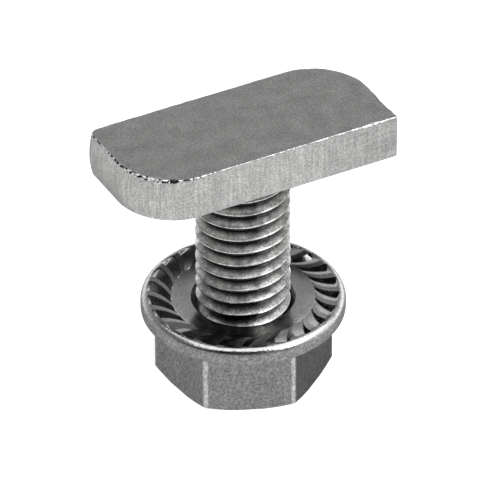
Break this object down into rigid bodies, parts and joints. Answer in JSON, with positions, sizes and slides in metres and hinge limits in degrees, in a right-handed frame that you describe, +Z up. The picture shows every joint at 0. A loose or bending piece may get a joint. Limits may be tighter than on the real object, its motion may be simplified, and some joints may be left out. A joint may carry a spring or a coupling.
{
  "type": "t slot bolt with flange nut",
  "caption": "Steel T slot bolt with a flat bar head, two of its corners turned round, and a serrated hexagon flange nut on its threaded shank.",
  "frame": {"origin": "middle of the nut's hexagon end face, on which the pair stands", "axes": "+Z up the bolt's axis towards the head, X along the head's long side, Y across the head"},
  "size_m": [0.0234, 0.0172, 0.0242],
  "materials": {
    "bolt_steel": "bright zinc plated, satin",
    "nut_steel": "zinc plated, fine satin"
  },
  "bodies": {
    "bolt": {"t_bolt": "bolt_steel"},
    "nut": {"flange_nut": "nut_steel"}
  },
  "joints": [
    {"name": "nut_travel", "type": "slide", "parent": "bolt", "child": "nut", "axis": [0, 0, 1], "range_m": [-0.00625, 0.011]}
  ]
}
